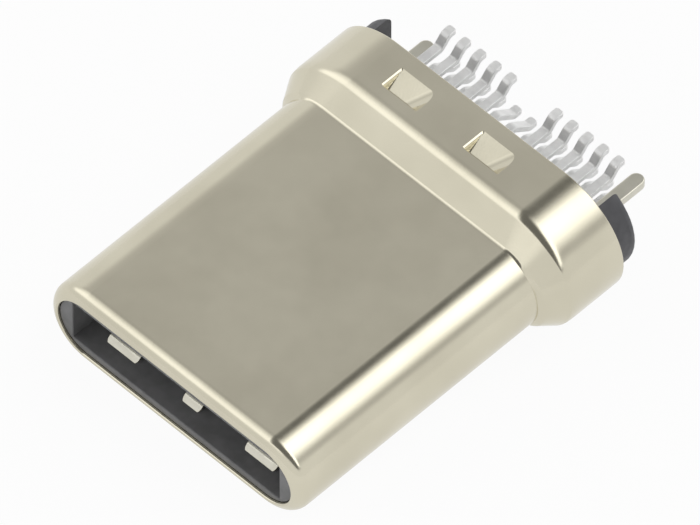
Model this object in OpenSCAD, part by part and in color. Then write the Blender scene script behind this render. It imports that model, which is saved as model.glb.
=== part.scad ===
// USB-C plug, straddle-mount type: a deep-drawn shell round a moulded insulator,
// with a latch plate, two grounding springs and 22 stamped contacts inside.
// Origin: centre of the mating face. X runs along the mouth, +Y runs back to the
// solder tails, +Z is up. Each lower piece is its upper one turned half a turn about Y.

/* [Shell] */
// Width of the nose that enters the receptacle
nose_w = 8.25; // [8.05:0.05:8.6]
// Height of the nose
nose_h = 2.4; // [2.35:0.01:2.6]
// Length of the whole shell, from mating face to rear edge
shell_l = 10.2; // [9.9:0.05:11]
// Length of the wider collar at the rear, shoulder included
collar_l = 2.34; // [2.2:0.01:2.6]
// How far the collar stands out from the nose above and below
collar_rise = 0.6; // [0.55:0.01:0.65]
// How far the collar stands out from the nose at each side
collar_side = 0.51; // [0.46:0.01:0.56]
// Radius of the rounded shoulder
shoulder_r = 0.85; // [0.8:0.01:0.9]
// Radius of the small fillet at the foot of the shoulder
foot_r = 0.12; // [0.06:0.02:0.2]
// Thickness of the drawn steel
wall = 0.25; // [0.2:0.01:0.27]
// Radius of the rolled front lip
lip_r = 0.38; // [0.34:0.01:0.4]
// Thickness of the lip where it curls in over the insulator
lip_t = 0.4; // [0.38:0.01:0.42]
// Depth of the curled part of the lip
lip_depth = 0.26; // [0.2:0.01:0.3]

/* [Lanced tabs on the collar] */
// Length of a tab along the collar
tab_l = 1.05; // [0.8:0.05:1.3]
// Width of a tab
tab_w = 0.67; // [0.5:0.01:0.7]
// How far the front edge of a tab is pressed in
tab_drop = 0.19; // [0.1:0.01:0.2]
// Width of the cut round a tab
tab_cut = 0.05; // [0.03:0.01:0.08]
// Distance between the middles of the two tabs on one side
tab_pitch = 2.64; // [2.4:0.02:3]
// How far the two tabs lie off the middle of the collar
tab_shift = 0.25; // [0:0.05:0.3]
// Distance from the shell's rear edge to the middle of a tab
tab_inset = 0.78; // [0.7:0.02:0.9]

/* [Front insulator] */
// How far the insulator's face lies behind the mating face
face_inset = 0.1; // [0.05:0.01:0.15]
// Distance from the side of the nose to the side of the mouth
mouth_side = 0.755; // [0.725:0.005:0.775]
// Distance from the top of the nose to the top of the mouth
mouth_top = 0.54; // [0.52:0.01:0.6]
// Distance from the end of the mouth to the foot of the shoulder
cavity_back = 1.56; // [1.46:0.02:1.86]
// Width of a groove that a contact springs in
groove_w = 0.32; // [0.3:0.01:0.36]

/* [Contacts] */
// Distance from the side of the nose to the middle of the first contact
row_side = 1.375; // [1.375:0.055:1.485]
// Width of a contact
contact_w = 0.25; // [0.2:0.01:0.28]
// Thickness of the contact strip
contact_t = 0.15; // [0.12:0.01:0.16]
// Free gap between the contact points of the two rows
contact_gap = 0.57; // [0.5:0.01:0.64]
// Gap between the two rows of solder tails, for the edge of a board
board_gap = 0.55; // [0.5:0.01:0.58]
// Distance from the shell's rear edge to the tips of the upper tails
upper_tail_l = 1.87; // [1.7:0.01:2.1]
// Height from an upper tail to its flared tip
upper_flare = 0.28; // [0.22:0.01:0.36]
// Length of the ramp up to that tip
upper_ramp = 0.24; // [0.22:0.01:0.4]
// Distance from the shell's rear edge to the tips of the lower tails
lower_tail_l = 2.03; // [1.9:0.01:2.2]
// Height from a lower tail to its flared tip
lower_flare = 0.4; // [0.3:0.01:0.45]
// Length of the ramp down to that tip
lower_ramp = 0.5; // [0.4:0.01:0.6]
// Length of the level end of a tail
flare_l = 0.24; // [0.2:0.01:0.3]
// Radius of the two corners at the tip of a tail
tip_r = 0.08; // [0.04:0.01:0.1]
// Inside radius of the folds in the strip
fold_r = 0.1; // [0.06:0.01:0.12]

/* [Contact carriers] */
// Distance from the last contact of a row to the end of its carrier
carrier_side = 0.275; // [0.225:0.005:0.3]
// Height of a carrier's top above the middle of the plug
carrier_h = 0.66; // [0.62:0.01:0.7]
// How far the carriers stand out behind the shell
carrier_out = 0.35; // [0.25:0.01:0.4]

/* [Latch plate] */
// Thickness of the latch plate
latch_t = 0.25; // [0.2:0.01:0.26]
// Width of a latch arm
arm_w = 0.27; // [0.22:0.01:0.3]
// How far the point of a latch hook stands in from the outside of its arm
hook_depth = 0.675; // [0.575:0.025:0.775]
// Distance from the mating face to the middle of a hook
hook_y = 1.85; // [1.6:0.05:2.2]
// Width of a ground leg
leg_w = 0.4; // [0.34:0.01:0.42]
// Gap in height between the two legs, for the board
leg_gap = 0.85; // [0.8:0.01:0.86]
// Distance from the shell's rear edge to the tips of the legs
leg_l = 1.84; // [1.6:0.02:2]

/* [Grounding springs] */
// Thickness of the spring sheet
spring_t = 0.1; // [0.08:0.01:0.12]
// Width of the two outer fingers
outer_finger_w = 0.98; // [0.8:0.02:1.1]
// Width of the middle finger
middle_finger_w = 0.56; // [0.4:0.02:0.7]
// Distance from the side of the nose to the middle of an outer finger
finger_side = 1.885; // [1.825:0.01:2.025]
// Free gap between the upper and the lower fingers
finger_gap = 1.0; // [0.9:0.01:1.1]
// Distance from the mating face to the fingers' front edges
finger_y = 0.55; // [0.5:0.01:0.6]

/* [Insulating films] */
// Thickness of the film over the contact grooves
film_t = 0.05; // [0.03:0.01:0.06]

/* [Rear insulator] */
// How far the end posts stand out behind the shell
post_out = 0.75; // [0.65:0.05:1]
// Radius of the rounded rim at the end of a post
post_r = 0.2; // [0.1:0.02:0.3]
// How far the shelves under the legs stand out behind the shell
shelf_out = 0.5; // [0.3:0.05:0.6]
// How far the rear wall lies inside the shell's rear edge
rear_inset = 0.15; // [0.1:0.01:0.25]

/* [Fits] */
// Clearance between pieces that slide together
fit_gap = 0.02; // [0.01:0.01:0.03]
// Clearance round a contact in its carrier
seat_gap = 0.01; // [0.005:0.005:0.01]
// Clearance between the carriers and the ground legs beside them
leg_side_gap = 0.07; // [0.04:0.01:0.08]
// Clearance between the ground legs and the end posts beside them
post_side_gap = 0.06; // [0.03:0.01:0.08]

/* [Hidden] */
$fn = 48;
// How far a cut reaches past the face that it opens
CUT = 0.1;
row_count = 12;
NOSE_R = nose_h / 2;
END_X = (nose_w - nose_h) / 2;
COLLAR_R = NOSE_R + collar_rise;
COLLAR_END_X = nose_w / 2 + collar_side - COLLAR_R;
BORE_R = NOSE_R - wall;
COLLAR_BORE_R = COLLAR_R - wall;
LIP_OPEN_R = NOSE_R - lip_t;
INSULATOR_R = BORE_R - fit_gap;
FOOT_Y = shell_l - collar_l;
CREST_Y = FOOT_Y + sqrt(pow(shoulder_r, 2) - pow(shoulder_r - collar_rise, 2));
TAB_Y = shell_l - tab_inset;
TAB_TILT = asin(tab_drop / tab_w);
TAB_ROOT = 0.1;
FOOT_SINK = 0.004;
CAVITY_END = FOOT_Y - cavity_back;
CAVITY_HALF_W = nose_w / 2 - mouth_side;
CAVITY_HALF_H = NOSE_R - mouth_top;

ROW_HALF_W = nose_w / 2 - row_side;
FILM_Z = INSULATOR_R - film_t - fit_gap;
SPRING_Z = INSULATOR_R - spring_t - fit_gap;
FINGER_X = nose_w / 2 - finger_side;
INSULATOR_SETBACK = 0.25;
INSULATOR_END = FOOT_Y - INSULATOR_SETBACK;
FINGER_RUN = 1.25;
STRAP_L = 0.55;
STRAP_FRONT = finger_y + FINGER_RUN;
STRAP_HALF_W = FINGER_X + outer_finger_w / 2 + 0.1;
FILM_FRONT = STRAP_FRONT + STRAP_L + 0.1;
FILM_BACK = CAVITY_END + 0.1;
FILM_HALF_W = ROW_HALF_W + groove_w / 2 + 0.1;

CARRIER_HALF_W = ROW_HALF_W + contact_w / 2 + carrier_side;
CARRIER_FRONT = CAVITY_END + 0.2;
CARRIER_BACK = shell_l + carrier_out;
CARRIER_FLOOR = latch_t / 2 + seat_gap;
FLANGE_TOP = BORE_R - 2 * fit_gap;
REAR_FRONT = CREST_Y + fit_gap;
REAR_BACK = shell_l - rear_inset;
REAR_R = COLLAR_BORE_R - fit_gap;

TAIL_Z = (board_gap + contact_t) / 2;
BUMP_Z = (contact_gap + contact_t) / 2;
BEAM_Z = CAVITY_HALF_H - 0.04;
TIP_Y = 2.65;
BUMP_Y = 3.15;

ARM_OUT_X = END_X + BORE_R - 0.1;
ARM_IN_X = ARM_OUT_X - arm_w;
ARM_FRONT = 1.0;
HOOK_R = hook_depth - 0.02;
HOOK_TIP_X = ARM_OUT_X - hook_depth;
SLOT_HALF_H = latch_t / 2 + 0.03;
LEG_Z = (leg_gap + latch_t) / 2;
LEG_RISE_RUN = 0.4;
LEG_FOLD_Y = REAR_BACK - CUT - LEG_RISE_RUN / 2 - 0.13;
LEG_X = CARRIER_HALF_W + leg_side_gap + leg_w / 2;
WINDOW_HALF_W = LEG_X + leg_w / 2 + 0.1;
POST_IN_X = LEG_X + leg_w / 2 + post_side_gap;

// Positions along a row, counted from its middle. The upper row has no middle pair.
PITCH = 2 * ROW_HALF_W / (row_count - 1);
function row_x(i) = (i - (row_count - 1) / 2) * PITCH;
UPPER_ROW = [for (i = [0:row_count - 1]) if (abs(row_x(i)) > PITCH) i];
LOWER_ROW = [for (i = [0:row_count - 1]) i];
UPPER_NAMES = [for (i = UPPER_ROW) str("upper_contact_", i + 1)];
LOWER_NAMES = [for (i = LOWER_ROW) str("lower_contact_", i + 1)];

// Paths of bent strip, as points (y, z)

function unit(v) = v / norm(v);

// Points of the arc that rounds corner b of the path a, b, c
function corner(a, b, c, r, steps = 4) =
    let (
        u = unit(a - b),
        v = unit(c - b),
        half = acos(u * v) / 2,
        middle = b + unit(u + v) * r / sin(half),
        start = b + u * r / tan(half) - middle,
        turn = (u[0] * v[1] - u[1] * v[0] > 0 ? -1 : 1) * (180 - 2 * half)
    )
    [for (i = [0:steps]) let (w = turn * i / steps)
        middle + [start[0] * cos(w) - start[1] * sin(w), start[0] * sin(w) + start[1] * cos(w)]];

function rounded_path(p, r) = concat(
    [p[0]],
    [for (i = [1:len(p) - 2]) each corner(p[i - 1], p[i], p[i + 1], r)],
    [p[len(p) - 1]]
);

// Normal of a path at point i, long enough to keep the strip's thickness at a turn
function path_normal(p, i) =
    let (
        before = i == 0 ? unit(p[1] - p[0]) : unit(p[i] - p[i - 1]),
        after = i == len(p) - 1 ? before : unit(p[i + 1] - p[i]),
        along = unit(before + after)
    )
    [-along[1], along[0]] / (along * before);

function strip_outline(p, t) = concat(
    [for (i = [0:len(p) - 1]) p[i] + path_normal(p, i) * t / 2],
    [for (i = [len(p) - 1:-1:0]) p[i] - path_normal(p, i) * t / 2]
);

// A strip of thickness t and width w, bent along a path in the YZ plane
module bent_strip(path, t, w, r)
    rotate([90, 0, 90])
        linear_extrude(w, center = true)
            polygon(strip_outline(rounded_path(path, r + t / 2), t));

// Solids that follow the rounded outline of the plug

module stadium(r, end_x) {
    for (side = [-1, 1])
        translate([side * end_x, 0]) circle(r);
    square([2 * end_x, 2 * r], center = true);
}

module stadium_bar(r, front, back, end_x = END_X)
    translate([0, back, 0])
        rotate([90, 0, 0])
            linear_extrude(back - front) stadium(r, end_x);

// Sweeps a profile (distance from the middle line, y) round an outline with its ends at end_x
module outline_sweep(end_x) {
    for (side = [-1, 1])
        translate([side * end_x, 0, 0])
            rotate([-90, 0, 0])
                rotate_extrude(angle = 180, start = -90 * side) children();
    for (turn = [-90, 90])
        rotate([0, turn, 0])
            linear_extrude(2 * end_x, center = true) children();
}

// Box from its lowest to its highest corner
module span(low, high)
    translate(low) cube(high - low);

module half_turn()
    rotate([0, 180, 0]) children();

module both_sides() {
    children();
    half_turn() children();
}

// Outer shell

// Wall of the nose, with the lip curled in at its front
module nose_profile() {
    inner_r = NOSE_R - lip_r;
    back = FOOT_Y + wall / 2;
    difference() {
        union() {
            square([inner_r, back]);
            translate([inner_r, lip_r]) circle(lip_r);
            translate([0, lip_r]) square([NOSE_R, back - lip_r]);
        }
        square([LIP_OPEN_R, 2 * lip_depth]);
        translate([0, lip_depth])
            polygon([
                [0, 0],
                [LIP_OPEN_R, 0],
                [BORE_R, lip_t - wall],
                [BORE_R, shell_l],
                [0, shell_l]
            ]);
    }
}

// Region inside the collar's outer surface, made smaller by inset
module collar_region(inset, back) {
    crest_r = COLLAR_R - shoulder_r;
    translate([crest_r, CREST_Y]) square([shoulder_r - inset, back - CREST_Y]);
    intersection() {
        translate([crest_r, CREST_Y]) circle(shoulder_r - inset);
        translate([crest_r, 0]) square([shoulder_r, CREST_Y]);
    }
}

// Metal that rounds the inner corner at the foot of the shoulder. It sinks a little way
// into the nose and into the shoulder, so that their surfaces cross.
module foot_fillet() {
    crest = [COLLAR_R - shoulder_r, CREST_Y];
    middle_r = NOSE_R + foot_r - FOOT_SINK;
    reach = shoulder_r + foot_r - FOOT_SINK;
    middle = [middle_r, CREST_Y - sqrt(pow(reach, 2) - pow(middle_r - crest[0], 2))];
    inward = unit(crest - middle);
    difference() {
        polygon([
            [NOSE_R - wall / 2, middle[1]],
            middle,
            middle + inward * (foot_r + wall / 2),
            [NOSE_R - wall / 2, FOOT_Y]
        ]);
        translate(middle) circle(foot_r);
    }
}

module collar_profile() {
    difference() {
        collar_region(0, shell_l);
        collar_region(wall, 2 * shell_l);
    }
    foot_fillet();
}

module tab_places()
    for (side = [-1, 1])
        translate([side * tab_pitch / 2 - tab_shift, TAB_Y, COLLAR_R]) children();

// A tab is cut free at its front and at its left end, and bent in about its rear edge
module tab()
    translate([0, tab_w / 2, 0])
        rotate([TAB_TILT, 0, 0])
            span([-tab_l / 2, -tab_w, -wall], [tab_l / 2 + TAB_ROOT, 0, 0]);

module tab_window()
    span(
        [-tab_l / 2 - tab_cut, -tab_w / 2 - tab_cut, -2 * wall],
        [tab_l / 2, tab_w / 2, wall]
    );

module outer_shell()
    color("#b3ad9d")
        union() {
            difference() {
                union() {
                    outline_sweep(END_X) nose_profile();
                    outline_sweep(COLLAR_END_X) collar_profile();
                }
                stadium_bar(BORE_R, FOOT_Y - wall, FOOT_Y + 2 * wall);
                both_sides() tab_places() tab_window();
            }
            both_sides() tab_places() tab();
        }

// Front insulator: the moulded body behind the mouth

module contact_grooves()
    for (i = LOWER_ROW)
        translate([row_x(i), 0, 0])
            span(
                [-groove_w / 2, FILM_FRONT + 0.1, CAVITY_HALF_H - CUT],
                [groove_w / 2, CAVITY_END, NOSE_R]
            );

module spring_seat() {
    span(
        [-STRAP_HALF_W - fit_gap, STRAP_FRONT - fit_gap, SPRING_Z - fit_gap],
        [STRAP_HALF_W + fit_gap, STRAP_FRONT + STRAP_L + fit_gap, NOSE_R]
    );
    for (k = [-1:1])
        translate([k * FINGER_X, 0, 0]) {
            half = finger_width(k) / 2 + 3 * fit_gap;
            span([-half, finger_y - 3 * fit_gap, 0], [half, STRAP_FRONT, NOSE_R]);
        }
}

module film_seat()
    span(
        [-FILM_HALF_W - fit_gap, FILM_FRONT - fit_gap, FILM_Z - fit_gap],
        [FILM_HALF_W + fit_gap, FILM_BACK + fit_gap, NOSE_R]
    );

module latch_slot(side) {
    low = side * (CAVITY_HALF_W - CUT);
    high = side * (nose_w / 2);
    span(
        [min(low, high), ARM_FRONT - 0.1, -SLOT_HALF_H],
        [max(low, high), INSULATOR_END + CUT, SLOT_HALF_H]
    );
}

module front_insulator()
    color("#3b3b3f")
        difference() {
            union() {
                stadium_bar(LIP_OPEN_R - fit_gap, face_inset, lip_depth + wall);
                stadium_bar(INSULATOR_R, lip_depth + lip_t - wall + fit_gap, INSULATOR_END);
            }
            span([-CAVITY_HALF_W, 0, -CAVITY_HALF_H], [CAVITY_HALF_W, CAVITY_END, CAVITY_HALF_H]);
            span(
                [-CARRIER_HALF_W - fit_gap, CAVITY_END - CUT, -carrier_h - fit_gap],
                [CARRIER_HALF_W + fit_gap, INSULATOR_END + CUT, carrier_h + fit_gap]
            );
            both_sides() {
                contact_grooves();
                spring_seat();
                film_seat();
            }
            for (side = [-1, 1]) latch_slot(side);
        }

// Grounding springs: three fingers on a strap, over and under the mouth

function finger_width(k) = k == 0 ? middle_finger_w : outer_finger_w;

FINGER_MID = finger_gap / 2 + spring_t / 2;
SPRING_MID = SPRING_Z + spring_t / 2;
FINGER_PATH = [
    [finger_y, CAVITY_HALF_H + 0.06],
    [finger_y + 0.19, FINGER_MID],
    [finger_y + 0.55, FINGER_MID],
    [STRAP_FRONT - 0.15, SPRING_MID],
    [STRAP_FRONT + STRAP_L, SPRING_MID]
];

// Plan of a finger, with its two front corners rounded
module finger_plan(w) {
    r = 0.12;
    back = STRAP_FRONT + STRAP_L;
    for (side = [-1, 1])
        translate([side * (w / 2 - r), finger_y - fit_gap + r]) circle(r);
    translate([r - w / 2, finger_y - fit_gap]) square([w - 2 * r, back]);
    translate([-w / 2, finger_y - fit_gap + r]) square([w, back]);
}

module spring()
    color("#c9c4b6") {
        for (k = [-1:1])
            translate([k * FINGER_X, 0, 0])
                intersection() {
                    bent_strip(FINGER_PATH, spring_t, finger_width(k), fold_r);
                    linear_extrude(NOSE_R) finger_plan(finger_width(k));
                }
        span(
            [-STRAP_HALF_W, STRAP_FRONT, SPRING_Z],
            [STRAP_HALF_W, STRAP_FRONT + STRAP_L, SPRING_Z + spring_t]
        );
    }

module upper_spring() spring();
module lower_spring() half_turn() spring();

// Insulating films over the open contact grooves

module film()
    color("#b98a3c")
        span([-FILM_HALF_W, FILM_FRONT, FILM_Z], [FILM_HALF_W, FILM_BACK, FILM_Z + film_t]);

module upper_film() film();
module lower_film() half_turn() film();

// Latch plate: two sprung arms with hooks, joined behind the mouth, with a leg each

LEG_PATH = [
    [CREST_Y - 0.2, 0],
    [LEG_FOLD_Y - LEG_RISE_RUN / 2, 0],
    [LEG_FOLD_Y + LEG_RISE_RUN / 2, LEG_Z],
    [shell_l + leg_l, LEG_Z]
];

module arm_outline() {
    translate([ARM_IN_X, ARM_FRONT + arm_w / 2])
        square([arm_w, INSULATOR_END - ARM_FRONT]);
    translate([ARM_IN_X + arm_w / 2, ARM_FRONT + arm_w / 2]) circle(arm_w / 2);
    intersection() {
        translate([ARM_OUT_X - HOOK_R, hook_y]) circle(HOOK_R);
        translate([HOOK_TIP_X, hook_y - HOOK_R]) square([hook_depth, 2 * HOOK_R]);
    }
}

module plate_outline() {
    bridge_front = INSULATOR_END + fit_gap;
    translate([-ARM_OUT_X, bridge_front])
        square([2 * ARM_OUT_X, CREST_Y - bridge_front]);
    translate([-CARRIER_HALF_W, CARRIER_FRONT])
        square([2 * CARRIER_HALF_W, bridge_front - CARRIER_FRONT + CUT]);
}

module leg()
    translate([LEG_X, 0, 0])
        intersection() {
            bent_strip(LEG_PATH, latch_t, leg_w, fold_r);
            linear_extrude(nose_h, center = true) {
                translate([0, shell_l + leg_l - leg_w / 2]) circle(leg_w / 2);
                translate([-leg_w / 2, 0]) square([leg_w, shell_l + leg_l - leg_w / 2]);
            }
        }

module latch_plate()
    color("#bdb8a8") {
        linear_extrude(latch_t, center = true) {
            plate_outline();
            arm_outline();
            mirror([1, 0]) arm_outline();
        }
        both_sides() leg();
    }

// Contact carriers: moulded bars that hold the contacts, one above and one below the plate

module carrier(row)
    color("#343438")
        difference() {
            union() {
                span(
                    [-CARRIER_HALF_W, CARRIER_FRONT, CARRIER_FLOOR],
                    [CARRIER_HALF_W, CARRIER_BACK, carrier_h]
                );
                span(
                    [-END_X, INSULATOR_END + fit_gap, CARRIER_FLOOR],
                    [END_X, REAR_FRONT - fit_gap, FLANGE_TOP]
                );
            }
            for (i = row)
                translate([row_x(i), 0, 0])
                    span(
                        [-contact_w / 2 - seat_gap, 0, TAIL_Z - contact_t / 2 - seat_gap],
                        [contact_w / 2 + seat_gap, 2 * shell_l, TAIL_Z + contact_t / 2 + seat_gap]
                    );
        }

module upper_carrier() carrier(UPPER_ROW);
module lower_carrier() half_turn() carrier(LOWER_ROW);

// Contacts

function contact_path(end, ramp, flare) = [
    [TIP_Y, BEAM_Z],
    [BUMP_Y, BUMP_Z],
    [CAVITY_END - 0.45, BEAM_Z],
    [CAVITY_END - 0.15, BEAM_Z],
    [CARRIER_FRONT - 0.06, TAIL_Z],
    [end - flare_l - ramp, TAIL_Z],
    [end - flare_l, TAIL_Z + flare],
    [end, TAIL_Z + flare]
];

// Plan of a contact, with the two corners of its tip rounded
module contact_plan(end) {
    half = contact_w / 2;
    translate([-half, 0]) square([2 * half, end - tip_r]);
    translate([tip_r - half, 0]) square([2 * (half - tip_r), end]);
    for (side = [-1, 1])
        translate([side * (half - tip_r), end - tip_r]) circle(tip_r, $fn = 24);
}

module contact(i, end, ramp, flare)
    color("#c6c6c2")
        translate([row_x(i), 0, 0])
            intersection() {
                bent_strip(contact_path(end, ramp, flare), contact_t, contact_w, fold_r);
                linear_extrude(2 * nose_h, center = true) contact_plan(end);
            }

module upper_contact(i)
    contact(i, shell_l + upper_tail_l, upper_ramp, upper_flare);
module lower_contact(i)
    half_turn() contact(i, shell_l + lower_tail_l, lower_ramp, lower_flare);

// Rear insulator: closes the collar, with a post at each end and a seat for each leg

module post() {
    back = shell_l + post_out;
    intersection() {
        translate([COLLAR_END_X, 0, 0])
            rotate([-90, 0, 0])
                rotate_extrude() {
                    translate([0, REAR_BACK - CUT]) square([REAR_R, back - post_r - REAR_BACK + CUT]);
                    square([REAR_R - post_r, back]);
                    translate([REAR_R - post_r, back - post_r]) circle(post_r);
                }
        span([POST_IN_X, REAR_BACK - CUT, -REAR_R], [nose_w, 2 * shell_l, REAR_R]);
    }
    span(
        [CARRIER_HALF_W + fit_gap, REAR_BACK - CUT, 0],
        [POST_IN_X + CUT, shell_l + shelf_out, LEG_Z - latch_t / 2 - seat_gap]
    );
}

// Room under a tab, which bends in towards the rear insulator
module tab_pocket()
    tab_places()
        span(
            [-tab_l / 2 - tab_cut, -tab_w / 2 - tab_cut, -wall - tab_drop - 2 * fit_gap],
            [tab_l / 2 + TAB_ROOT + fit_gap, tab_w / 2 + wall / 2, 0]
        );

module rear_insulator()
    color("#4a4a4e")
        difference() {
            union() {
                difference() {
                    stadium_bar(REAR_R, REAR_FRONT, REAR_BACK, COLLAR_END_X);
                    span(
                        [-WINDOW_HALF_W, REAR_FRONT - CUT, -carrier_h - fit_gap],
                        [WINDOW_HALF_W, REAR_BACK + CUT, carrier_h + fit_gap]
                    );
                }
                both_sides() post();
            }
            both_sides() tab_pocket();
        }

outer_shell();
front_insulator();
rear_insulator();
latch_plate();
upper_spring();
lower_spring();
upper_film();
lower_film();
upper_carrier();
lower_carrier();
for (k = [0:len(UPPER_ROW) - 1])
    upper_contact(UPPER_ROW[k]);
for (k = [0:len(LOWER_ROW) - 1])
    lower_contact(LOWER_ROW[k]);
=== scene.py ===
"""USB-C plug on a white table under soft studio light."""

import math

import bmesh
import bpy
from mathutils import Matrix, Vector


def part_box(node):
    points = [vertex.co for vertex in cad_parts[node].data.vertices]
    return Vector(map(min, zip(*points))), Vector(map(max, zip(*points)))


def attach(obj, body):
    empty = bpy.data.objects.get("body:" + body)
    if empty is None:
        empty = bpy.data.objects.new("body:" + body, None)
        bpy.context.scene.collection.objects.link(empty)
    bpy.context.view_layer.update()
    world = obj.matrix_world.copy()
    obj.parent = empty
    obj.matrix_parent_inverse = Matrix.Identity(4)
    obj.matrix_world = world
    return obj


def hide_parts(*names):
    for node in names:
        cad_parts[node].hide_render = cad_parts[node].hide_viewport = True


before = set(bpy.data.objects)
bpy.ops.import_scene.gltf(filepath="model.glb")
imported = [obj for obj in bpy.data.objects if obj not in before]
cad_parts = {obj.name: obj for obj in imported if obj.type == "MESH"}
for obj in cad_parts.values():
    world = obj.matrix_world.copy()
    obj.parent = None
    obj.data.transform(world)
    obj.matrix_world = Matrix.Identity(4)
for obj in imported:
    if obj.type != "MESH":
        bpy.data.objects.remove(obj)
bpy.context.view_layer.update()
bpy.ops.object.select_all(action="DESELECT")

MM = 0.001

# The photograph's camera: a long lens, well away from the plug
CAMERA_BACK = Vector((0.4295, -0.4363, 0.7907)).normalized()
CAMERA_AIM = Vector((1.116, 4.701, 1.988)) * MM
CAMERA_DISTANCE = 555.6 * MM
CAMERA_CLIP = (0.01, 10)
SENSOR = 36.0
LENS = 1236.9

# Where the plug rests on the table: at the end of its nose and on the edge of its collar
SHELL_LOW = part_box("outer_shell")[0]
NOSE_BOTTOM = Vector((0, 0.38 * MM, -1.2 * MM))
COLLAR_BOTTOM = Vector((0, 8.75 * MM, SHELL_LOW[2]))


# Camera

def add_camera():
    data = bpy.data.cameras.new("camera")
    data.sensor_width = SENSOR
    data.lens = LENS
    data.clip_start, data.clip_end = CAMERA_CLIP
    camera = bpy.data.objects.new("camera", data)
    bpy.context.collection.objects.link(camera)
    camera.location = CAMERA_AIM + CAMERA_BACK * CAMERA_DISTANCE
    camera.rotation_mode = "QUATERNION"
    camera.rotation_quaternion = (-CAMERA_BACK).to_track_quat("-Z", "Y")
    bpy.context.scene.camera = camera


# Studio: a white table in a white tent. The panels hang on a ceiling one unit above the plug, and
# each one covers those before it. A panel has its light and its soft edges to the right and to the
# back, each as (begin, full, fade, end).

TENT_LIGHT = 0.88
PANELS = [
    # A grey cloth overhead, which the flat faces show
    (0.6, (-1.75, -0.8, 1.5, 2.5), (-0.15, 0.25, 3, 5)),
    # A pale band in front of the cloth, for the faces that lean a little forward
    (1.04, (-1.6, -1.0, -0.3, -0.2), (-0.45, -0.3, -0.1, 0.05)),
    # A side lamp, for the crest of the lip and of the shoulder
    (1.5, (-4, -2, 0.2, 0.6), (-1.42, -0.8, -0.5, 0.0)),
    # Two dark boards, left of the main lamp and in front of it
    (0.18, (-0.54, -0.28, 0.0, 0.3), (-0.95, -0.8, 3, 5)),
    (0.18, (-0.4, -0.2, 2.2, 3.4), (-0.95, -0.8, 0.2, 0.4)),
    # The main lamp, and a low strip of it that reaches further right
    (2.0, (-0.2, 0.24, 0.4, 1.4), (-0.15, 0.15, 3, 5)),
    (2.0, (0.1, 0.4, 1.8, 2.6), (-0.15, 0.02, 0.15, 0.45)),
]
# Directions at or below the horizon count as this far up
LEAST_UP = 0.02

TABLE_SIZE = 1.2
TABLE_GREY = 0.78
TABLE_ROUGH = 0.9
# How much of the table is plain white to the camera, and what part of that in reflections
TABLE_WHITE = 0.94
TABLE_MIRRORED = 0.8


def ceiling_place(tree):
    """Where a direction meets the ceiling: its right and back distances from above the plug."""
    nodes, links = tree.nodes, tree.links
    parts = nodes.new("ShaderNodeSeparateXYZ")
    links.new(nodes["Texture Coordinate"].outputs["Generated"], parts.inputs[0])
    up = nodes.new("ShaderNodeMath")
    up.operation = "MAXIMUM"
    up.inputs[1].default_value = LEAST_UP
    links.new(parts.outputs["Z"], up.inputs[0])
    places = []
    for axis in "XY":
        share = nodes.new("ShaderNodeMath")
        share.operation = "DIVIDE"
        links.new(parts.outputs[axis], share.inputs[0])
        links.new(up.outputs[0], share.inputs[1])
        places.append(share.outputs[0])
    return places


def soft_step(tree, value, begin, end):
    """0 before begin and 1 after end, or the other way round where end is less than begin."""
    step = tree.nodes.new("ShaderNodeMapRange")
    step.interpolation_type = "SMOOTHSTEP"
    step.inputs["From Min"].default_value = min(begin, end)
    step.inputs["From Max"].default_value = max(begin, end)
    if end < begin:
        step.inputs["To Min"].default_value = 1.0
        step.inputs["To Max"].default_value = 0.0
    tree.links.new(value, step.inputs["Value"])
    return step.outputs["Result"]


def lamp_panel(tree, place, below, light, right, back):
    """A rectangular panel over the light below it."""
    nodes, links = tree.nodes, tree.links
    cover = None
    for value, (begin, full, fade, end) in zip(place, (right, back)):
        for edge in (soft_step(tree, value, begin, full), soft_step(tree, value, end, fade)):
            if cover is None:
                cover = edge
                continue
            both = nodes.new("ShaderNodeMath")
            both.operation = "MULTIPLY"
            links.new(cover, both.inputs[0])
            links.new(edge, both.inputs[1])
            cover = both.outputs[0]
    mix = nodes.new("ShaderNodeMix")
    mix.data_type = "FLOAT"
    links.new(cover, mix.inputs["Factor"])
    links.new(below, mix.inputs["A"])
    mix.inputs["B"].default_value = light
    return mix.outputs["Result"]


def light_studio():
    world = bpy.data.worlds.new("studio")
    bpy.context.scene.world = world
    world.use_nodes = True
    tree = world.node_tree
    nodes, links = tree.nodes, tree.links
    coordinate = nodes.new("ShaderNodeTexCoord")
    coordinate.name = "Texture Coordinate"
    place = ceiling_place(tree)
    tent = nodes.new("ShaderNodeValue")
    tent.outputs[0].default_value = TENT_LIGHT
    light = tent.outputs[0]
    for panel in PANELS:
        light = lamp_panel(tree, place, light, *panel)
    rays = nodes.new("ShaderNodeLightPath")
    seen = nodes.new("ShaderNodeMix")
    seen.data_type = "FLOAT"
    links.new(rays.outputs["Is Camera Ray"], seen.inputs["Factor"])
    links.new(light, seen.inputs["A"])
    seen.inputs["B"].default_value = 1.0
    background = nodes["Background"]
    background.inputs["Color"].default_value = (1, 1, 1, 1)
    links.new(seen.outputs["Result"], background.inputs["Strength"])


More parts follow.
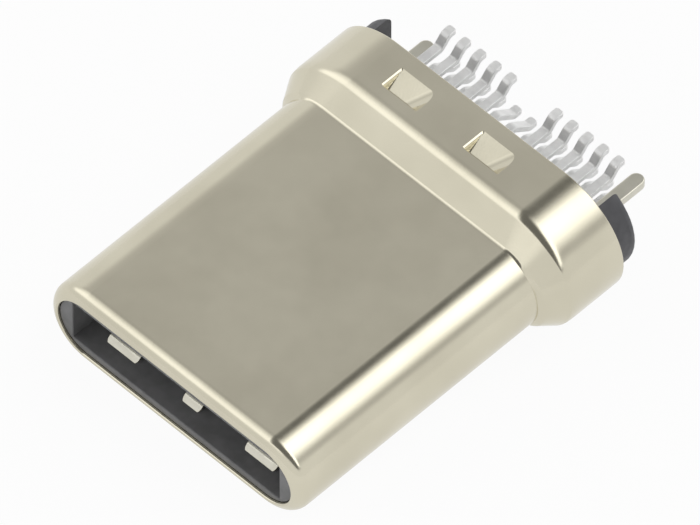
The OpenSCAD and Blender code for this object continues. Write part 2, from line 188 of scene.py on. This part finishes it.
def add_table():
    """A white table under the plug, which rests on its nose and on the edge of its collar."""
    slope = math.atan2(COLLAR_BOTTOM.z - NOSE_BOTTOM.z, COLLAR_BOTTOM.y - NOSE_BOTTOM.y)
    bpy.ops.mesh.primitive_plane_add(size=TABLE_SIZE, location=(0, 0, 0))
    table = bpy.context.object
    table.name = "table"
    table.data.transform(Matrix.Translation(NOSE_BOTTOM) @ Matrix.Rotation(slope, 4, "X"))
    material = bpy.data.materials.new("white table")
    material.use_nodes = True
    tree = material.node_tree
    nodes, links = tree.nodes, tree.links
    shader = nodes["Principled BSDF"]
    shader.inputs["Base Color"].default_value = (TABLE_GREY, TABLE_GREY, TABLE_GREY, 1)
    shader.inputs["Roughness"].default_value = TABLE_ROUGH
    glow = nodes.new("ShaderNodeEmission")
    glow.inputs["Strength"].default_value = 1.0
    rays = nodes.new("ShaderNodeLightPath")
    share = nodes.new("ShaderNodeMath")
    share.operation = "MULTIPLY"
    share.inputs[1].default_value = TABLE_WHITE
    shine = nodes.new("ShaderNodeMath")
    shine.operation = "MULTIPLY_ADD"
    shine.inputs[1].default_value = TABLE_MIRRORED
    links.new(rays.outputs["Is Glossy Ray"], shine.inputs[0])
    links.new(rays.outputs["Is Camera Ray"], shine.inputs[2])
    links.new(shine.outputs[0], share.inputs[0])
    mix = nodes.new("ShaderNodeMixShader")
    links.new(share.outputs[0], mix.inputs["Fac"])
    links.new(shader.outputs[0], mix.inputs[1])
    links.new(glow.outputs[0], mix.inputs[2])
    links.new(mix.outputs[0], nodes["Material Output"].inputs["Surface"])
    table.data.materials.append(material)


# The shell: one drawn skin, modelled ring by ring in millimetres from its rear edge over the
# collar, shoulder, nose and rolled lip, and back inside

RING_POINTS = 144
NOSE_END, NOSE_R = 2.925, 1.2
COLLAR_END, COLLAR_WIDE, COLLAR_R = 2.68, 1.955, 1.8
BORE_R, COLLAR_BORE_END, COLLAR_BORE_R = 0.95, 2.835, 1.55
REAR_Y, FOOT_Y, CREST_Y = 10.2, 7.86, 8.79
RIM_R, CREST_R, FOOT_R, LIP_R = 0.04, 0.5, 0.15, 0.38
LIP_OPEN_R = 0.862
LIP_TURN = 68
SLOPE = math.radians(41)
# Rings that hold the collar and the nose straight
COLLAR_RINGS = [(9.95, COLLAR_R), (8.95, COLLAR_R)]
NOSE_RINGS = [(7.5, NOSE_R), (0.6, NOSE_R)]
# The lip's edge, rolled inwards, and the step behind it
HEM = [(0.01, 0.93), (0.005, 0.91), (0.011, 0.888), (0.028, 0.87), (0.055, LIP_OPEN_R)]
THROAT = [(0.26, LIP_OPEN_R), (0.4, BORE_R), (4, BORE_R)]
# The full round of the shoulder: middle, and radius outside and inside
ROUND_Y, ROUND_R, ROUND_BORE_R = 8.672, 0.85, 0.6


def arc(y, r, radius, begin, end, steps):
    """Points of an arc about (y, r). Angles run from straight outward towards the front."""
    angles = [math.radians(begin + (end - begin) * i / steps) for i in range(steps + 1)]
    return [(y - radius * math.sin(a), r + radius * math.cos(a)) for a in angles]


def outer_profile():
    """Shell outside as (y, r), from its rear edge to the hem of its lip."""
    crest = arc(CREST_Y, COLLAR_R - CREST_R, CREST_R, 0, math.degrees(SLOPE), 8)
    fillet_r = NOSE_R + FOOT_R
    top_y, top_r = crest[-1]
    # The slope meets the foot's fillet where its line is one radius away from the fillet's middle
    reach = (top_r - fillet_r + FOOT_R * math.cos(SLOPE)) / math.tan(SLOPE)
    middle_y = top_y - reach - FOOT_R * math.sin(SLOPE)
    foot = arc(middle_y, fillet_r, FOOT_R, 180 + math.degrees(SLOPE), 180, 6)
    lip = arc(LIP_R, NOSE_R - LIP_R, LIP_R, 0, LIP_TURN, 14)
    rim = arc(REAR_Y - RIM_R, COLLAR_R - RIM_R, RIM_R, -90, 0, 4)
    return rim + COLLAR_RINGS + crest + foot + NOSE_RINGS + lip + HEM


def inner_profile():
    """Shell inside as (y, r), from the hem of its lip to its rear edge."""
    turns = [math.radians(90 - 15 * i) for i in range(7)]
    dome = [(ROUND_Y - ROUND_BORE_R * math.sin(a), BORE_R + ROUND_BORE_R * math.cos(a))
            for a in turns]
    return THROAT + dome + [(REAR_Y, COLLAR_BORE_R)]


def ring_shape(r, inside):
    """Round end's middle, half width and half height of the ring whose top is r high."""
    share = min(max((r - NOSE_R) / (COLLAR_R - NOSE_R), 0), 1)
    if inside:
        share = min(max((r - BORE_R) / (COLLAR_BORE_R - BORE_R), 0), 1)
        return NOSE_END + share * (COLLAR_BORE_END - NOSE_END), r, r
    return NOSE_END + share * (COLLAR_END - NOSE_END), r + share * (COLLAR_WIDE - COLLAR_R), r


def ease(value):
    """0 up to 0, 1 from 1 on, and a soft rise between."""
    value = min(max(value, 0), 1)
    return value * value * (3 - 2 * value)


def pick_side(mesh, side, ring):
    """Selects the points of the ring on one side, or all of them where side is 0."""
    for point in mesh.verts:
        point.select = False
    for point in ring:
        point.select = side == 0 or point.co.x * side > 0
    mesh.select_flush_mode()


def shell_skin():
    """Draws the skin out of one circle, ring by ring."""
    rings = [(y, *ring_shape(r, False)) for y, r in outer_profile()]
    rings += [(y, *ring_shape(r, True)) for y, r in inner_profile()]
    y = rings[0][0]
    bpy.ops.mesh.primitive_circle_add(vertices=RING_POINTS, radius=1, location=(0, y, 0),
                                      rotation=(math.pi / 2, math.pi / RING_POINTS, 0))
    shell = bpy.context.object
    shell.name = "steel_shell"
    bpy.ops.object.transform_apply(location=True, rotation=True, scale=True)
    bpy.ops.object.mode_set(mode="EDIT")
    mesh = bmesh.from_edit_mesh(shell.data)
    first = ring = list(mesh.verts)
    was = (y, 0, 1, 1)
    for number, (y, end, wide, high) in enumerate(rings):
        if number:
            bpy.ops.mesh.extrude_region_move(TRANSFORM_OT_translate={"value": (0, y - was[0], 0)})
            ring = [point for point in mesh.verts if point.select]
        for side in (1, -1):
            pick_side(mesh, side, ring)
            bpy.ops.transform.resize(value=(wide / was[2], 1, high / was[3]),
                                     center_override=(side * was[1], y, 0))
            bpy.ops.transform.translate(value=(side * (end - was[1]), 0, 0))
        pick_side(mesh, 0, ring)
        was = (y, end, wide, high)
    for point in first:
        point.select = True
    mesh.select_flush_mode()
    bpy.ops.mesh.bridge_edge_loops()
    bpy.ops.mesh.select_all(action="SELECT")
    bpy.ops.mesh.remove_doubles(threshold=0.0001)
    bpy.ops.mesh.normals_make_consistent(inside=False)
    bpy.ops.object.mode_set(mode="OBJECT")
    return shell


# The shoulder's ends are rounder from this many degrees off the flat side, over so many more
ROUND_BEGIN, ROUND_TURN = 12, 60
SHOULDER = [(y, r) for y, r in outer_profile() if FOOT_Y - 0.05 < y < CREST_Y + 0.01]


def round_ends(shell):
    """Fills the shoulder out to a full round on the shell's ends, where it was drawn further."""
    for point in shell.data.vertices:
        for y, r in SHOULDER:
            if abs(point.co.y - y) > 1e-4:
                continue
            middle, wide, high = ring_shape(r, False)
            out, up = (abs(point.co.x) - middle) / wide, point.co.z / high
            if out <= 0 or abs(math.hypot(out, up) - 1) > 0.01:
                continue
            rise = math.sqrt(max(ROUND_R ** 2 - max(ROUND_Y - y, 0) ** 2, 0))
            full_r = COLLAR_R - ROUND_R + rise
            turn = math.degrees(math.atan2(out, abs(up)))
            share = ease((turn - ROUND_BEGIN) / ROUND_TURN)
            middle, wide, high = ring_shape(r + share * max(full_r - r, 0), False)
            point.co.x = math.copysign(middle + wide * out, point.co.x)
            point.co.z = high * up


# The pressed tabs: cut free at their front and left end, and bent in from their rear edge. Each
# soft value is the width over which two faces run into each other.

TAB_PLACES = [(-1.57, 9.42), (1.07, 9.42)]
TAB_LONG, TAB_WIDE = 1.05, 0.67
PAD_SLOPE, PAD_DEEP, PAD_SOFT = 0.37, 0.235, 0.03
END_SLOPE, END_PAST, END_SOFT = 0.68, 0.05, 0.15
CUT_SOFT, WALL_SOFT = 0.03, 0.02
# Each cut: how far outside the tab it begins, then its rolled edge's slope and roll, then where
# its steep wall begins and how steep that is
LEFT_CUT = (0.08, 0.75, 0.07, 0.08, 5)
FRONT_CUT = (0.06, 1.5, 0.04, 0.06, 6)
# Keeps the tool off the collar where nothing is pressed
PRESS_CLEAR = 0.003
PRESS_GRID = (150, 110)
PRESS_MARGIN, PRESS_HIGH = 0.3, 0.3


def softer_min(a, b, softness):
    """The lesser of two depths, with a rounded corner where they cross."""
    share = max(softness - abs(a - b), 0) / softness
    return min(a, b) - share * share * softness / 4


def cut_depth(distance, outside, slope, roll, wall, steep):
    """Depth of a cut at a distance inside the tab's edge."""
    past = max(distance + outside, 0)
    return slope * past * past / (past + roll) + steep * max(past - wall, 0)


def press_depth(u, v):
    """Depth pressed into the shell at u, v millimetres right and back of the tab's middle."""
    pad = softer_min(PAD_SLOPE * max(TAB_WIDE / 2 - v, 0), PAD_DEEP, PAD_SOFT)
    pad = softer_min(pad, END_SLOPE * max(TAB_LONG / 2 + END_PAST - u, 0), END_SOFT)
    left = cut_depth(u + TAB_LONG / 2, *LEFT_CUT)
    front = cut_depth(v + TAB_WIDE / 2, *FRONT_CUT)
    return softer_min(pad, softer_min(front, left, CUT_SOFT), WALL_SOFT) - PRESS_CLEAR


def press_tool():
    """Closed tool whose underside has the shape of one pressed tab."""
    bpy.ops.mesh.primitive_grid_add(x_subdivisions=PRESS_GRID[0], y_subdivisions=PRESS_GRID[1],
                                    size=1, location=(0, 0, 0))
    tool = bpy.context.object
    tool.scale = (TAB_LONG + PRESS_MARGIN, TAB_WIDE + PRESS_MARGIN, 1)
    bpy.ops.object.transform_apply(location=True, rotation=True, scale=True)
    for point in tool.data.vertices:
        point.co.z = COLLAR_R - press_depth(point.co.x, point.co.y)
    bpy.ops.object.mode_set(mode="EDIT")
    bpy.ops.mesh.select_all(action="SELECT")
    bpy.ops.mesh.extrude_region_move(TRANSFORM_OT_translate={"value": (0, 0, PRESS_HIGH)})
    bpy.ops.transform.resize(value=(1, 1, 0), center_override=(0, 0, COLLAR_R + PRESS_HIGH))
    bpy.ops.mesh.select_all(action="SELECT")
    bpy.ops.mesh.normals_make_consistent(inside=False)
    bpy.ops.object.mode_set(mode="OBJECT")
    return tool


def press_tabs(shell):
    """Presses the tabs in on both sides."""
    for x, y in TAB_PLACES:
        for under in (False, True):
            tool = press_tool()
            tool.location = (x, y, 0)
            bpy.ops.object.transform_apply(location=True, rotation=False, scale=False)
            if under:
                tool.data.transform(Matrix.Rotation(math.pi, 4, "Y"))
            cut = shell.modifiers.new("press", "BOOLEAN")
            cut.operation = "DIFFERENCE"
            cut.solver = "EXACT"
            cut.object = tool
            bpy.ops.object.select_all(action="DESELECT")
            bpy.context.view_layer.objects.active = shell
            bpy.ops.object.modifier_apply(modifier=cut.name)
            bpy.data.objects.remove(tool)


# Edges that are turned further than this, in degrees, stay sharp
SHELL_SHARP, STRIP_SHARP, LINING_SHARP = 40, 35, 30


def finish_piece(piece, node, angle):
    """Smooths a piece, brings it to metres and lets it stand for its node."""
    bpy.ops.object.select_all(action="DESELECT")
    bpy.context.view_layer.objects.active = piece
    piece.select_set(True)
    bpy.ops.object.shade_smooth_by_angle(angle=math.radians(angle))
    even = piece.modifiers.new("even", "WEIGHTED_NORMAL")
    even.keep_sharp = True
    bpy.ops.object.modifier_apply(modifier=even.name)
    piece.data.transform(Matrix.Scale(MM, 4))
    piece.select_set(False)
    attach(piece, "root")
    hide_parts(node)


# Rolled edges of stamped strip, in millimetres and segments
LEG_ROLL, LEG_SEGMENTS = 0.045, 3
TAIL_ROLL, TAIL_SEGMENTS = 0.025, 2
# Points closer than this are one, and faces within this many degrees are one face
MERGE, FLAT = 0.0005, 1
ROLLED_FROM = 40


def soften(node, width, segments):
    """A copy of a node whose sharp edges are rolled over, as on a stamped strip."""
    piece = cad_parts[node].copy()
    piece.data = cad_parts[node].data.copy()
    piece.name = "soft_" + node
    bpy.context.collection.objects.link(piece)
    for key in list(piece.keys()):
        del piece[key]
    piece.data.transform(Matrix.Scale(1 / MM, 4))
    bpy.ops.object.select_all(action="DESELECT")
    bpy.context.view_layer.objects.active = piece
    piece.select_set(True)
    bpy.ops.object.mode_set(mode="EDIT")
    bpy.ops.mesh.select_all(action="SELECT")
    bpy.ops.mesh.remove_doubles(threshold=MERGE)
    bpy.ops.mesh.dissolve_limited(angle_limit=math.radians(FLAT))
    bpy.ops.object.mode_set(mode="OBJECT")
    roll = piece.modifiers.new("roll", "BEVEL")
    roll.width = width
    roll.segments = segments
    roll.limit_method = "ANGLE"
    roll.angle_limit = math.radians(ROLLED_FROM)
    bpy.ops.object.modifier_apply(modifier=roll.name)
    finish_piece(piece, node, STRIP_SHARP)
    return piece


def build_shell():
    shell = shell_skin()
    round_ends(shell)
    press_tabs(shell)
    finish_piece(shell, "outer_shell", SHELL_SHARP)
    return shell


# The mouth's lining: the moulding's front face and the smooth walls of its opening, which fit
# closely round the grounding fingers

LINING_R, LINING_FRONT, LINING_BACK = 0.848, 0.095, 3.2
MOUTH_HALF_W, MOUTH_HALF_H = 3.36, 0.65
LINING_WALL, LINING_EDGE = 0.015, 0.02
# How far the lining's own edge lies behind its front face, and each new ring behind the last
LINING_LIP, LINING_STEP = 0.1, 0.01
# Further out than any point of the lining
ANYWHERE = 9


def shape_ring(mesh, ring, wide, high, y):
    """Sets a stadium ring into the opening's outline, which is flat at the top and at the ends."""
    for point in ring:
        point.co.x = min(max(point.co.x, -wide), wide)
        point.co.z = min(max(point.co.z, -high), high)
        point.co.y = y


def build_lining():
    bpy.ops.mesh.primitive_circle_add(vertices=RING_POINTS, radius=LINING_R,
                                      location=(0, LINING_FRONT + LINING_LIP, 0),
                                      rotation=(math.pi / 2, math.pi / RING_POINTS, 0))
    lining = bpy.context.object
    lining.name = "mouth_lining"
    bpy.ops.object.transform_apply(location=True, rotation=True, scale=True)
    bpy.ops.object.mode_set(mode="EDIT")
    mesh = bmesh.from_edit_mesh(lining.data)
    first = ring = list(mesh.verts)
    for side in (1, -1):
        pick_side(mesh, side, ring)
        bpy.ops.transform.translate(value=(side * NOSE_END, 0, 0))
    pick_side(mesh, 0, ring)
    w, h, edge, wall = MOUTH_HALF_W, MOUTH_HALF_H, LINING_EDGE, LINING_WALL
    steps = [(ANYWHERE, ANYWHERE, LINING_FRONT), (w + edge, h + edge, LINING_FRONT),
             (w, h, LINING_FRONT + edge), (w, h, LINING_BACK),
             (w + wall, h + wall, LINING_BACK), (w + wall, h + wall, LINING_FRONT + LINING_LIP)]
    for wide, high, y in steps:
        bpy.ops.mesh.extrude_region_move(TRANSFORM_OT_translate={"value": (0, LINING_STEP, 0)})
        ring = [point for point in mesh.verts if point.select]
        if wide > w and y > LINING_FRONT:
            for point in ring:
                point.co.x = point.co.x * (wide / w)
                point.co.z = point.co.z * (high / h)
        shape_ring(mesh, ring, wide, high, y)
    for point in first:
        point.select = True
    mesh.select_flush_mode()
    bpy.ops.mesh.bridge_edge_loops()
    bpy.ops.mesh.select_all(action="SELECT")
    bpy.ops.mesh.normals_make_consistent(inside=False)
    bpy.ops.object.mode_set(mode="OBJECT")
    bpy.ops.object.select_all(action="DESELECT")
    bpy.context.view_layer.objects.active = lining
    lining.select_set(True)
    bpy.ops.object.shade_smooth_by_angle(angle=math.radians(LINING_SHARP))
    lining.data.transform(Matrix.Scale(MM, 4))
    lining.select_set(False)
    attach(lining, "root")
    return lining


# Finishes

# The part of the noise's range that is spread over two colours, and over two roughnesses
COLOUR_RANGE = (0.35, 0.65)
ROUGH_RANGE = (0.3, 0.7)


def new_finish(name):
    """A material with its shader and the object's own coordinates, in millimetres."""
    material = bpy.data.materials.new(name)
    material.use_nodes = True
    nodes, links = material.node_tree.nodes, material.node_tree.links
    place = nodes.new("ShaderNodeTexCoord")
    scale = nodes.new("ShaderNodeMapping")
    scale.name = "millimetres"
    scale.inputs["Scale"].default_value = (1 / MM,) * 3
    links.new(place.outputs["Object"], scale.inputs["Vector"])
    return material


def cloud(material, size, detail=2.0):
    """Soft noise whose patches are about size millimetres across."""
    nodes, links = material.node_tree.nodes, material.node_tree.links
    noise = nodes.new("ShaderNodeTexNoise")
    noise.inputs["Scale"].default_value = 1 / size
    noise.inputs["Detail"].default_value = detail
    links.new(nodes["millimetres"].outputs["Vector"], noise.inputs["Vector"])
    return noise.outputs["Fac"]


def blend_colours(material, factor, dark, light):
    nodes, links = material.node_tree.nodes, material.node_tree.links
    ramp = nodes.new("ShaderNodeMapRange")
    ramp.inputs["From Min"].default_value, ramp.inputs["From Max"].default_value = COLOUR_RANGE
    links.new(factor, ramp.inputs["Value"])
    mix = nodes.new("ShaderNodeMix")
    mix.data_type = "RGBA"
    mix.inputs["A"].default_value = (*dark, 1)
    mix.inputs["B"].default_value = (*light, 1)
    links.new(ramp.outputs["Result"], mix.inputs["Factor"])
    return mix.outputs["Result"]


def spread(material, factor, low, high):
    """A number between low and high for each place, from the noise."""
    nodes, links = material.node_tree.nodes, material.node_tree.links
    ramp = nodes.new("ShaderNodeMapRange")
    ramp.inputs["From Min"].default_value, ramp.inputs["From Max"].default_value = ROUGH_RANGE
    ramp.inputs["To Min"].default_value = low
    ramp.inputs["To Max"].default_value = high
    links.new(factor, ramp.inputs["Value"])
    return ramp.outputs["Result"]


def bump(material, height, strength, depth):
    """Bumps of depth millimetres."""
    nodes, links = material.node_tree.nodes, material.node_tree.links
    node = nodes.new("ShaderNodeBump")
    node.inputs["Strength"].default_value = strength
    node.inputs["Distance"].default_value = depth * MM
    links.new(height, node.inputs["Height"])
    return node.outputs["Normal"]


def plated_steel():
    """Warm nickel plating over drawn steel, satin and slightly clouded."""
    material = new_finish("plated steel")
    nodes, links = material.node_tree.nodes, material.node_tree.links
    shader = nodes["Principled BSDF"]
    shader.inputs["Metallic"].default_value = 1.0
    tone = blend_colours(material, cloud(material, 2.2), (0.635, 0.598, 0.475),
                         (0.69, 0.652, 0.522))
    links.new(tone, shader.inputs["Base Color"])
    links.new(spread(material, cloud(material, 0.5, 3), 0.13, 0.18), shader.inputs["Roughness"])
    links.new(bump(material, cloud(material, 0.06, 2), 0.15, 0.004), shader.inputs["Normal"])
    return material


def sprung_steel():
    """Plated spring steel: latch plate, legs and grounding fingers."""
    material = new_finish("sprung steel")
    nodes, links = material.node_tree.nodes, material.node_tree.links
    shader = nodes["Principled BSDF"]
    shader.inputs["Metallic"].default_value = 1.0
    tone = blend_colours(material, cloud(material, 0.6), (0.64, 0.62, 0.53), (0.7, 0.68, 0.59))
    links.new(tone, shader.inputs["Base Color"])
    links.new(spread(material, cloud(material, 0.2, 3), 0.28, 0.38), shader.inputs["Roughness"])
    return material


def tinned_strip():
    """Tinned copper alloy: the contacts. Part metallic, so that their ramps aren't too dark."""
    material = new_finish("tinned strip")
    nodes, links = material.node_tree.nodes, material.node_tree.links
    shader = nodes["Principled BSDF"]
    shader.inputs["Metallic"].default_value = 0.3
    tone = blend_colours(material, cloud(material, 0.3), (0.78, 0.78, 0.77), (0.87, 0.87, 0.86))
    links.new(tone, shader.inputs["Base Color"])
    links.new(spread(material, cloud(material, 0.1, 3), 0.28, 0.36), shader.inputs["Roughness"])
    return material


def moulded_plastic(name, dark, light, roughness):
    material = new_finish(name)
    nodes, links = material.node_tree.nodes, material.node_tree.links
    shader = nodes["Principled BSDF"]
    tone = blend_colours(material, cloud(material, 0.4), dark, light)
    links.new(tone, shader.inputs["Base Color"])
    rough = spread(material, cloud(material, 0.15, 3), roughness - 0.05, roughness + 0.05)
    links.new(rough, shader.inputs["Roughness"])
    links.new(bump(material, cloud(material, 0.03, 2), 0.2, 0.003), shader.inputs["Normal"])
    return material


def amber_film():
    material = new_finish("amber film")
    nodes, links = material.node_tree.nodes, material.node_tree.links
    shader = nodes["Principled BSDF"]
    tone = blend_colours(material, cloud(material, 0.8), (0.40, 0.19, 0.03), (0.47, 0.24, 0.05))
    links.new(tone, shader.inputs["Base Color"])
    links.new(spread(material, cloud(material, 0.3), 0.25, 0.35), shader.inputs["Roughness"])
    return material


def dress(finish, *names):
    """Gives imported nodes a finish."""
    for name in names:
        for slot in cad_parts[name].material_slots:
            slot.material = finish


def paint(piece, finish):
    """Gives a new piece a finish in place of those it came with."""
    piece.data.materials.clear()
    piece.data.materials.append(finish)


add_camera()
light_studio()
add_table()

steel = plated_steel()
spring = sprung_steel()
tin = tinned_strip()
black = moulded_plastic("black moulding", (0.145, 0.145, 0.147), (0.18, 0.18, 0.183), 0.45)
grey = moulded_plastic("grey moulding", (0.06, 0.06, 0.066), (0.08, 0.08, 0.087), 0.5)
film = amber_film()

paint(build_shell(), steel)
paint(soften("latch_plate", LEG_ROLL, LEG_SEGMENTS), spring)
for name in [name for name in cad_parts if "contact" in name]:
    paint(soften(name, TAIL_ROLL, TAIL_SEGMENTS), tin)
dress(spring, "upper_spring", "lower_spring")
paint(build_lining(), black)
dress(black, "front_insulator", "upper_carrier", "lower_carrier")
dress(grey, "rear_insulator")
dress(film, "upper_film", "lower_film")

bpy.context.scene.view_settings.view_transform = "Standard"
